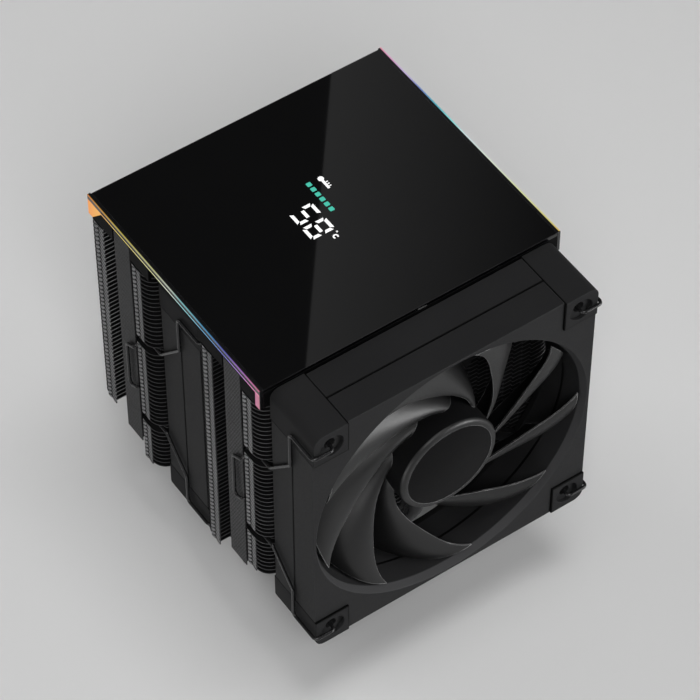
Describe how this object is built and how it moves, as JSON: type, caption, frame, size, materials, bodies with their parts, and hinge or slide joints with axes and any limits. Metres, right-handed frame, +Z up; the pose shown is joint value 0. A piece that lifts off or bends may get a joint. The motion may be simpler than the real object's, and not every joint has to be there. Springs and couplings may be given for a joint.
{
  "type": "cpu tower cooler",
  "caption": "Twin-tower air cooler with heat pipes, two wire-clipped fans, spring screws on a crossbar and a lift-off gloss cover with a temperature display and side lights.",
  "frame": {"origin": "centre of the cold plate's lower face", "axes": "+Z up, away from the processor; the air goes in at -Y and out at +Y; +X to the right seen from the intake"},
  "size_m": [0.1296, 0.1381, 0.162],
  "materials": {
    "coated_fins": "black coating",
    "coated_pipes": "black coated copper",
    "plated_base": "nickel plated copper, ground flat",
    "clamp_block": "black coating",
    "black_steel": "black powder coat",
    "screw_steel": "bright zinc",
    "fan_plastic": "fine grain, matt",
    "fan_rubber": "soft rubber, matt",
    "blade_plastic": "smooth, half matt",
    "hub_disc": "flat disc, satin",
    "magnet": "bonded ferrite",
    "shaft_steel": "ground",
    "bearing_bronze": "oiled bronze",
    "stator_iron": "laminated iron",
    "coil_copper": "enamelled copper wire",
    "circuit_green": "glass fibre board",
    "clip_wire": "black spring steel",
    "cover_plastic": "fine grain, matt",
    "gloss_panel": "polished, mirror gloss",
    "light_diffuser": "milky, lit from inside",
    "circuit_black": "black circuit board",
    "display_face": "dark display window",
    "socket_plastic": "moulded nylon"
  },
  "bodies": {
    "heatsink": {"front_tower_fins": "coated_fins", "rear_tower_fins": "coated_fins", "heat_pipe_1": "coated_pipes", "heat_pipe_2": "coated_pipes", "heat_pipe_3": "coated_pipes", "heat_pipe_4": "coated_pipes", "heat_pipe_5": "coated_pipes", "heat_pipe_6": "coated_pipes", "base_plate": "plated_base", "base_top": "clamp_block", "mount_crossbar": "black_steel", "crossbar_screws": "screw_steel", "front_fan_frame": "fan_plastic", "front_fan_pads": "fan_rubber", "front_bearing": "bearing_bronze", "front_stator_core": "stator_iron", "front_stator_coils": "coil_copper", "front_circuit_board": "circuit_green", "middle_fan_frame": "fan_plastic", "middle_fan_pads": "fan_rubber", "middle_bearing": "bearing_bronze", "middle_stator_core": "stator_iron", "middle_stator_coils": "coil_copper", "middle_circuit_board": "circuit_green", "left_mounting_spring": "screw_steel", "right_mounting_spring": "screw_steel"},
    "front_rotor": {"front_fan_rotor": "blade_plastic", "front_hub_cap": "hub_disc", "front_magnet_ring": "magnet", "front_fan_shaft": "shaft_steel", "front_shaft_ring": "shaft_steel"},
    "middle_rotor": {"middle_fan_rotor": "blade_plastic", "middle_hub_cap": "hub_disc", "middle_magnet_ring": "magnet", "middle_fan_shaft": "shaft_steel", "middle_shaft_ring": "shaft_steel"},
    "front_left_clip": {"front_left_clip": "clip_wire"},
    "front_right_clip": {"front_right_clip": "clip_wire"},
    "middle_left_clip": {"middle_left_clip": "clip_wire"},
    "middle_right_clip": {"middle_right_clip": "clip_wire"},
    "left_screw_ring": {"left_screw_ring": "black_steel"},
    "left_screw": {"left_mounting_screw": "screw_steel"},
    "right_screw_ring": {"right_screw_ring": "black_steel"},
    "right_screw": {"right_mounting_screw": "screw_steel"},
    "display_cover": {"cover_frame": "cover_plastic", "cover_panel": "gloss_panel", "left_light_guide": "light_diffuser", "right_light_guide": "light_diffuser", "left_led_strip": "circuit_black", "right_led_strip": "circuit_black", "display_board": "circuit_black", "display_module": "display_face", "cover_magnets": "magnet", "board_screws": "screw_steel", "cable_socket": "socket_plastic"}
  },
  "joints": [
    {"name": "front_fan_spin", "type": "hinge", "parent": "heatsink", "child": "front_rotor", "pos_m": [0, -0.0688, 0.1005], "axis": [0, -1, 0], "continuous": true},
    {"name": "middle_fan_spin", "type": "hinge", "parent": "heatsink", "child": "middle_rotor", "pos_m": [0, 0.0012, 0.0923], "axis": [0, -1, 0], "continuous": true},
    {"name": "front_left_clip_swing", "type": "hinge", "parent": "heatsink", "child": "front_left_clip", "pos_m": [-0.0525, -0.0828, 0.1005], "axis": [0, 0, 1], "range_deg": [0, 10], "stiffness_Nm_per_rad": 0.25, "springref_deg": -2.86},
    {"name": "front_right_clip_swing", "type": "hinge", "parent": "heatsink", "child": "front_right_clip", "pos_m": [0.0525, -0.0828, 0.1005], "axis": [0, 0, -1], "range_deg": [0, 10], "stiffness_Nm_per_rad": 0.25, "springref_deg": -2.86},
    {"name": "middle_left_clip_swing", "type": "hinge", "parent": "heatsink", "child": "middle_left_clip", "pos_m": [-0.0525, -0.0128, 0.0923], "axis": [0, 0, 1], "range_deg": [0, 10], "stiffness_Nm_per_rad": 0.25, "springref_deg": -2.86},
    {"name": "middle_right_clip_swing", "type": "hinge", "parent": "heatsink", "child": "middle_right_clip", "pos_m": [0.0525, -0.0128, 0.0923], "axis": [0, 0, -1], "range_deg": [0, 10], "stiffness_Nm_per_rad": 0.25, "springref_deg": -2.86},
    {"name": "cover_lift", "type": "slide", "parent": "heatsink", "child": "display_cover", "axis": [0, 0, 1], "range_m": [0, 0.03]},
    {"name": "left_screw_press", "type": "slide", "parent": "heatsink", "child": "left_screw_ring", "axis": [0, 0, 1], "range_m": [-0.004, 0], "stiffness_N_per_m": 1500, "springref_m": 0.002, "deforming": ["left_mounting_spring"]},
    {"name": "left_screw_turn", "type": "hinge", "parent": "left_screw_ring", "child": "left_screw", "pos_m": [-0.041, 0, 0.015], "axis": [0, 0, -1], "continuous": true},
    {"name": "right_screw_press", "type": "slide", "parent": "heatsink", "child": "right_screw_ring", "axis": [0, 0, 1], "range_m": [-0.004, 0], "stiffness_N_per_m": 1500, "springref_m": 0.002, "deforming": ["right_mounting_spring"]},
    {"name": "right_screw_turn", "type": "hinge", "parent": "right_screw_ring", "child": "right_screw", "pos_m": [0.041, 0, 0.015], "axis": [0, 0, -1], "continuous": true}
  ]
}
